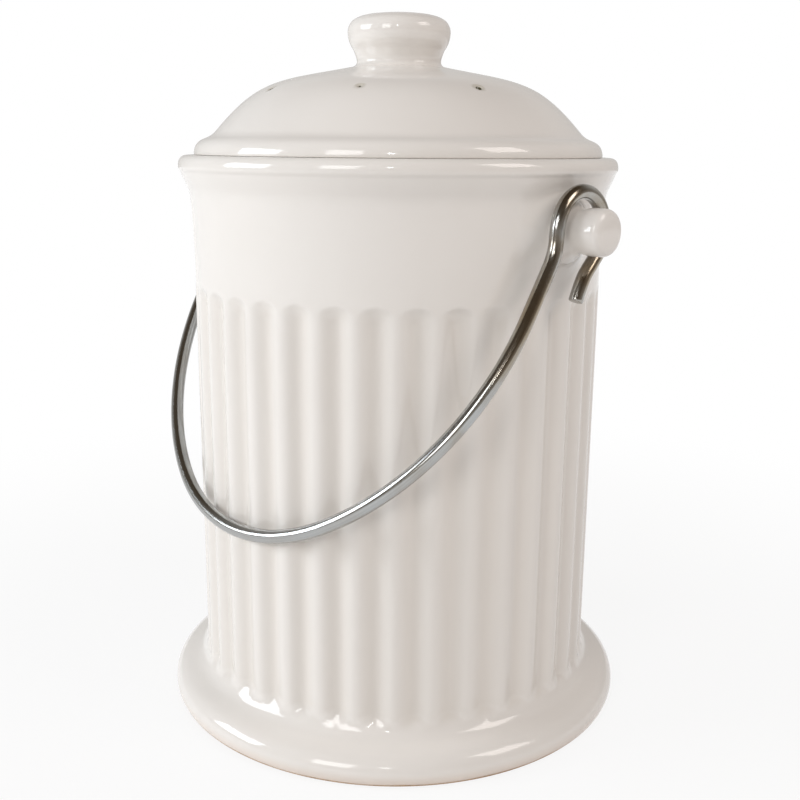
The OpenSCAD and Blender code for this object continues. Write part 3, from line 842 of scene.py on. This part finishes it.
lens = bpy.data.cameras.new("photo_camera")
lens.sensor_width = SENSOR
lens.lens = FOCAL_PIXELS / FRAME_PIXELS * lens.sensor_width
lens.shift_x = SHIFT_PIXELS / FRAME_PIXELS
camera = bpy.data.objects.new("photo_camera", lens)
stance = np.eye(4)
stance[:3, 0], stance[:3, 1], stance[:3, 2], stance[:3, 3] = tilted_right, tilted_up, -forward, spot
camera.matrix_world = Matrix(stance.tolist())
bpy.context.scene.collection.objects.link(camera)
bpy.context.scene.camera = camera
print("camera: lens", round(lens.lens, 2), "mm at", (spot / MM).round(1), "mm")

# %% [markdown]
# ## Light
# The highlights on the rolled edges point back at the lamps: a large cool panel far to the left, a smaller
# one between it and the camera, a warm panel high on the right, and a small lamp a little above the camera.
# A sky picture could light the pot too, but lamps that are placed one by one put each highlight where it
# belongs.

# %% Lamps
AIM_Z, NEAR, FAR = 0.14, 1.2, 1.8
PLAIN, COOL, WARM = (1.0, 1.0, 1.0), (0.89, 0.945, 1.0), (1.0, 0.93, 0.89)


def panel(name, azimuth, elevation, width, height, power, tint=PLAIN, distance=NEAR):
    """Area lamp that faces the pot, at an azimuth counted to the right from the camera's side. Its sizes and
    its distance are metres."""
    a, e = np.radians(azimuth), np.radians(elevation)
    way = (np.sin(a) * right + np.cos(a) * toward) * np.cos(e) + np.array([0, 0, np.sin(e)])
    data = bpy.data.lights.new(name, "AREA")
    data.shape, data.size, data.size_y = "RECTANGLE", width, height
    data.energy, data.color = power, tint
    lamp = bpy.data.objects.new(name, data)
    level = np.cross([0, 0, 1.0], way)
    level /= np.linalg.norm(level)
    pose = np.eye(4)
    pose[:3, 0], pose[:3, 1], pose[:3, 2] = level, np.cross(way, level), way
    pose[:3, 3] = way * distance + [0, 0, AIM_Z]
    lamp.matrix_world = Matrix(pose.tolist())
    bpy.context.scene.collection.objects.link(lamp)
    print(f"{name}: {power} W")


panel("left_panel", -81, 18, 0.87, 0.68, 16.4, COOL, FAR)
panel("front_left_panel", -29, 23, 0.57, 0.70, 7.0, PLAIN, FAR)
panel("right_panel", 64, 40, 0.46, 0.52, 3.6, WARM)
panel("small_lamp", -3.5, 26, 0.05, 0.05, 0.35)

# %% [markdown]
# ## Room and floor
# Seen by the camera, the room is plain white. The glaze and the wire mirror a darker one, with warm walls, a
# dark ceiling and a pale backdrop behind the pot, because shiny things look flat when all that they mirror is
# white. Soft light comes from all round at an even level. The floor glows white to the camera, and a small
# matt share of it keeps the pot's shadow.

# %% Room
WHITE, FILL = (1, 1, 1, 1), (0.378, 0.366, 0.366, 1)
WALLS, CEILING, BACKDROP = (0.30, 0.26, 0.22, 1), (0.10, 0.075, 0.05, 1), (0.58, 0.565, 0.545, 1)


def rays(flow, kind):
    """1 for the rays of that kind, such as the camera's own, and 0 for all others."""
    return flow.add("ShaderNodeLightPath", out=f"Is {kind} Ray")


world = bpy.data.worlds.new("pale_room")
world.use_nodes = True
world.node_tree.nodes.clear()
bpy.context.scene.world = world
way = Flow(world.node_tree).add("ShaderNodeTexCoord", out="Generated")
above = way.add("ShaderNodeSeparateXYZ", None, {0: way}, out="Z")
dot_inputs = {0: way, 1: tuple(-toward)}
behind = way.add("ShaderNodeVectorMath", {"operation": "DOT_PRODUCT"}, dot_inputs, out="Value")
backdrop = behind.eased(0.1, 0.55) * (1 - above.eased(0.4, 0.85))
mirrored = blend(backdrop, blend(above.eased(0.05, 0.45), WALLS, CEILING), BACKDROP)
room = blend(rays(way, "Glossy") + rays(way, "Transmission"), FILL, mirrored)
light = way.add("ShaderNodeBackground", None, {"Color": blend(rays(way, "Camera"), room, WHITE)})
way.add("ShaderNodeOutputWorld", None, {"Surface": light})
print("room:", len(way.tree.nodes), "nodes")

# %% Floor
FLOOR_R, FLOOR_PLACES = 4000, 96
FLOOR_MATT, GLOW_SHARE, GLOW_RISE = (0.84, 0.83, 0.82, 1), 0.87, 0.13

ground, place = new_finish("pale_ground")
seen = rays(place, "Camera") + rays(place, "Glossy") + rays(place, "Transmission")
far = place.add("ShaderNodeVectorMath", {"operation": "LENGTH"}, {0: place}, out="Value").eased(0.12, 0.5)
matt = place.add("ShaderNodeBsdfDiffuse", None, {"Color": FLOOR_MATT})
glow = place.add("ShaderNodeEmission", None, {"Color": WHITE, "Strength": 1.0})
glow_share = seen * (GLOW_SHARE + GLOW_RISE * far)
mixed = place.add("ShaderNodeMixShader", None, {0: glow_share, 1: matt, 2: glow})
place.add("ShaderNodeOutputMaterial", None, {"Surface": mixed})

angle = np.linspace(0, 2 * np.pi, FLOOR_PLACES, endpoint=False)
floor_rows = np.stack([FLOOR_R * np.cos(angle), FLOOR_R * np.sin(angle), 0 * angle], -1)
floor_mesh = bpy.data.meshes.new("pale_floor")
floor_mesh.from_pydata(floor_rows * MM, [], [list(range(FLOOR_PLACES))])
floor_mesh.materials.append(ground)
floor = bpy.data.objects.new("pale_floor", floor_mesh)
bpy.context.scene.collection.objects.link(floor)
print("floor:", FLOOR_R * MM, "m in radius")

# %% [markdown]
# ## View transform
# The view transform is Standard, so a colour renders about as it is written.

# %% View transform
bpy.context.scene.view_settings.view_transform = "Standard"
